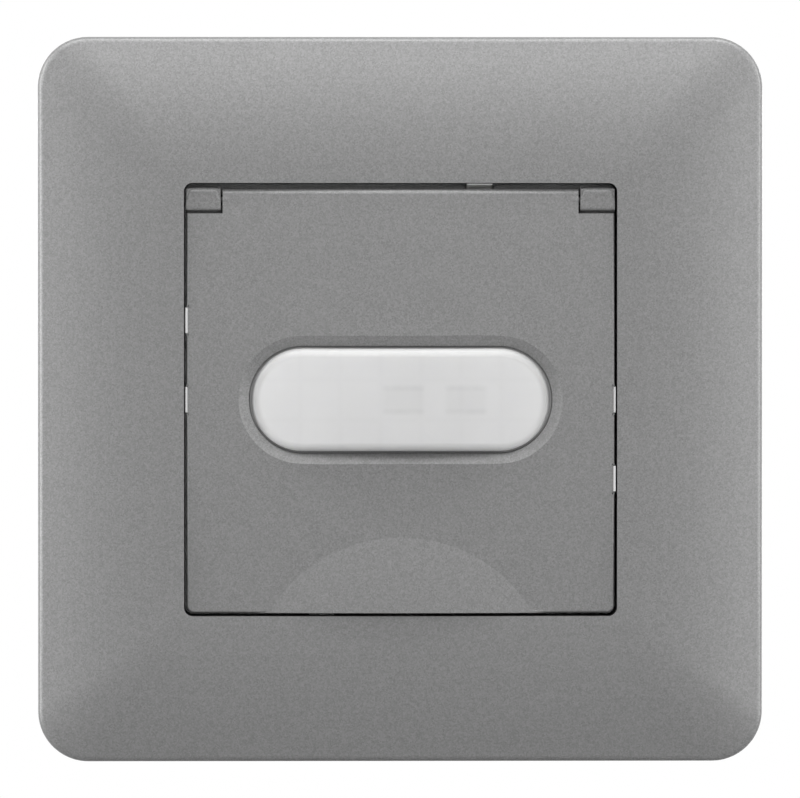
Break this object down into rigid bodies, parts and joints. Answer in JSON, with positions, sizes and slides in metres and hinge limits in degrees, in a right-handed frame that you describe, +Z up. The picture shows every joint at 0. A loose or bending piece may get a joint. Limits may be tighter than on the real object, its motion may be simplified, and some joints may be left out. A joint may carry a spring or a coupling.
{
  "type": "motion sensor light switch",
  "caption": "Flush wall switch with a motion sensor: a square frame, a hinged cover round a wide lens, and a screw terminal body for a round wall box.",
  "frame": {"origin": "middle of the insert on the wall's surface, between the two box screws", "axes": "+X right, +Z up, +Y into the wall; the front looks along -Y"},
  "size_m": [0.084, 0.0386, 0.084],
  "materials": {
    "lacquer_grey": "satin metallic grey lacquer on moulded plastic",
    "lens_milky": "milky translucent polyethylene",
    "white_plastic": "white moulded polycarbonate",
    "zinc_steel": "zinc plated pressed steel",
    "screw_steel": "bright zinc plated steel",
    "clamp_brass": "nickelled brass",
    "board_green": "solder-masked glass fibre board",
    "part_black": "black moulded plastic",
    "part_grey": "grey moulded plastic",
    "part_blue": "blue coated part",
    "part_yellow": "yellow boxed film capacitor",
    "led_clear": "tinted clear resin",
    "can_steel": "nickel plated can",
    "copper_wire": "enamelled copper winding",
    "dial_white": "white moulded plastic",
    "sheet_white": "fish paper"
  },
  "bodies": {
    "root": {"board_screws": "screw_steel", "bridge_rectifier": "part_black", "case_screws": "screw_steel", "centre_plate": "lacquer_grey", "choke": "part_grey", "choke_winding": "copper_wire", "controller_chip": "part_black", "cover_frame": "lacquer_grey", "film_capacitor": "part_yellow", "fresnel_lens": "lens_milky", "front_housing": "white_plastic", "fuse_resistor": "part_blue", "header_pins": "part_black", "header_socket": "part_black", "hinge_pins": "screw_steel", "insulating_sheet": "sheet_white", "lens_holder": "part_black", "light_sensor": "led_clear", "mode_switch": "can_steel", "motion_sensor": "can_steel", "plate_screws": "screw_steel", "power_board": "board_green", "rear_housing": "white_plastic", "relay_base": "part_black", "relay_coil": "copper_wire", "relay_contact": "clamp_brass", "relay_cover": "part_black", "relay_yoke": "zinc_steel", "sensor_board": "board_green", "sensor_filter": "part_black", "status_light": "led_clear", "storage_capacitor": "part_black", "support_plate": "zinc_steel", "terminal_bars": "clamp_brass", "trimmers": "part_blue", "varistor": "part_blue"},
    "lid": {"lid": "lacquer_grey"},
    "time_dial": {"time_dial": "dial_white"},
    "light_level_dial": {"light_level_dial": "dial_white"},
    "range_dial": {"range_dial": "dial_white"},
    "mode_slider": {"mode_slider": "dial_white"},
    "relay_armature": {"relay_armature": "zinc_steel"},
    "terminal_screw_1": {"terminal_screw_1": "screw_steel"},
    "terminal_clamp_1": {"terminal_clamp_1": "clamp_brass"},
    "terminal_screw_2": {"terminal_screw_2": "screw_steel"},
    "terminal_clamp_2": {"terminal_clamp_2": "clamp_brass"},
    "terminal_screw_3": {"terminal_screw_3": "screw_steel"},
    "terminal_clamp_3": {"terminal_clamp_3": "clamp_brass"},
    "terminal_screw_4": {"terminal_screw_4": "screw_steel"},
    "terminal_clamp_4": {"terminal_clamp_4": "clamp_brass"}
  },
  "joints": [
    {"name": "lid_hinge", "type": "hinge", "parent": "root", "child": "lid", "pos_m": [0, -0.008, 0.02309], "axis": [-1, 0, 0], "range_deg": [0, 95]},
    {"name": "time_dial_turn", "type": "hinge", "parent": "root", "child": "time_dial", "pos_m": [-0.0095, -0.006, -0.0145], "axis": [0, 1, 0], "range_deg": [-135, 135]},
    {"name": "light_level_dial_turn", "type": "hinge", "parent": "root", "child": "light_level_dial", "pos_m": [0, -0.006, -0.0145], "axis": [0, 1, 0], "range_deg": [-135, 135]},
    {"name": "range_dial_turn", "type": "hinge", "parent": "root", "child": "range_dial", "pos_m": [0.0095, -0.006, -0.0145], "axis": [0, 1, 0], "range_deg": [-135, 135]},
    {"name": "mode_slide", "type": "slide", "parent": "root", "child": "mode_slider", "axis": [1, 0, 0], "range_m": [-0.0025, 0.0025]},
    {"name": "armature_swing", "type": "hinge", "parent": "root", "child": "relay_armature", "pos_m": [-0.00105, 0.01905, 0.0077], "axis": [0, -1, 0], "range_deg": [0, 4], "stiffness_Nm_per_rad": 0.002},
    {"name": "terminal_screw_1_turn", "type": "hinge", "parent": "root", "child": "terminal_screw_1", "pos_m": [-0.0135, 0.021, -0.0205], "axis": [0, 0, 1], "range_deg": [0, 1873]},
    {"name": "terminal_clamp_1_slide", "type": "slide", "parent": "root", "child": "terminal_clamp_1", "axis": [0, 0, -1], "range_m": [0, 0.0026]},
    {"name": "terminal_screw_2_turn", "type": "hinge", "parent": "root", "child": "terminal_screw_2", "pos_m": [-0.0045, 0.021, -0.0205], "axis": [0, 0, 1], "range_deg": [0, 1873]},
    {"name": "terminal_clamp_2_slide", "type": "slide", "parent": "root", "child": "terminal_clamp_2", "axis": [0, 0, -1], "range_m": [0, 0.0026]},
    {"name": "terminal_screw_3_turn", "type": "hinge", "parent": "root", "child": "terminal_screw_3", "pos_m": [0.0045, 0.021, -0.0205], "axis": [0, 0, 1], "range_deg": [0, 1873]},
    {"name": "terminal_clamp_3_slide", "type": "slide", "parent": "root", "child": "terminal_clamp_3", "axis": [0, 0, -1], "range_m": [0, 0.0026]},
    {"name": "terminal_screw_4_turn", "type": "hinge", "parent": "root", "child": "terminal_screw_4", "pos_m": [0.0135, 0.021, -0.0205], "axis": [0, 0, 1], "range_deg": [0, 1873]},
    {"name": "terminal_clamp_4_slide", "type": "slide", "parent": "root", "child": "terminal_clamp_4", "axis": [0, 0, -1], "range_m": [0, 0.0026]}
  ],
  "couplings": [
    {"joint": "terminal_screw_1_turn", "follows": "terminal_clamp_1_slide", "rad_per_m": 12566},
    {"joint": "terminal_screw_2_turn", "follows": "terminal_clamp_2_slide", "rad_per_m": 12566},
    {"joint": "terminal_screw_3_turn", "follows": "terminal_clamp_3_slide", "rad_per_m": 12566},
    {"joint": "terminal_screw_4_turn", "follows": "terminal_clamp_4_slide", "rad_per_m": 12566}
  ]
}
